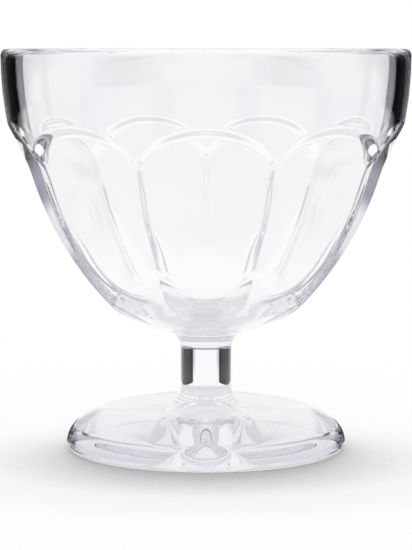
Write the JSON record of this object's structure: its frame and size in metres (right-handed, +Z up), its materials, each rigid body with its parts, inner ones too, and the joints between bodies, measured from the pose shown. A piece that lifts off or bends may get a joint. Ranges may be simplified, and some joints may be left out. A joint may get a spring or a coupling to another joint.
{
  "type": "parfait glass",
  "caption": "Footed dessert glass with a round panelled bowl, arched panels under a plain band, a short stem and a thick round foot.",
  "frame": {"origin": "centre of the standing ring under the foot, on the table", "axes": "+Z up the axis of the glass, -Y towards the viewer of the picture, through the middle of a panel"},
  "size_m": [0.096, 0.096, 0.0947],
  "materials": {
    "bowl_glass": "clear moulded glass, fire polished",
    "stem_glass": "clear moulded glass, fire polished",
    "foot_glass": "clear moulded glass, fire polished"
  },
  "bodies": {
    "root": {"bowl": "bowl_glass", "stem": "stem_glass", "foot": "foot_glass"}
  },
  "joints": []
}
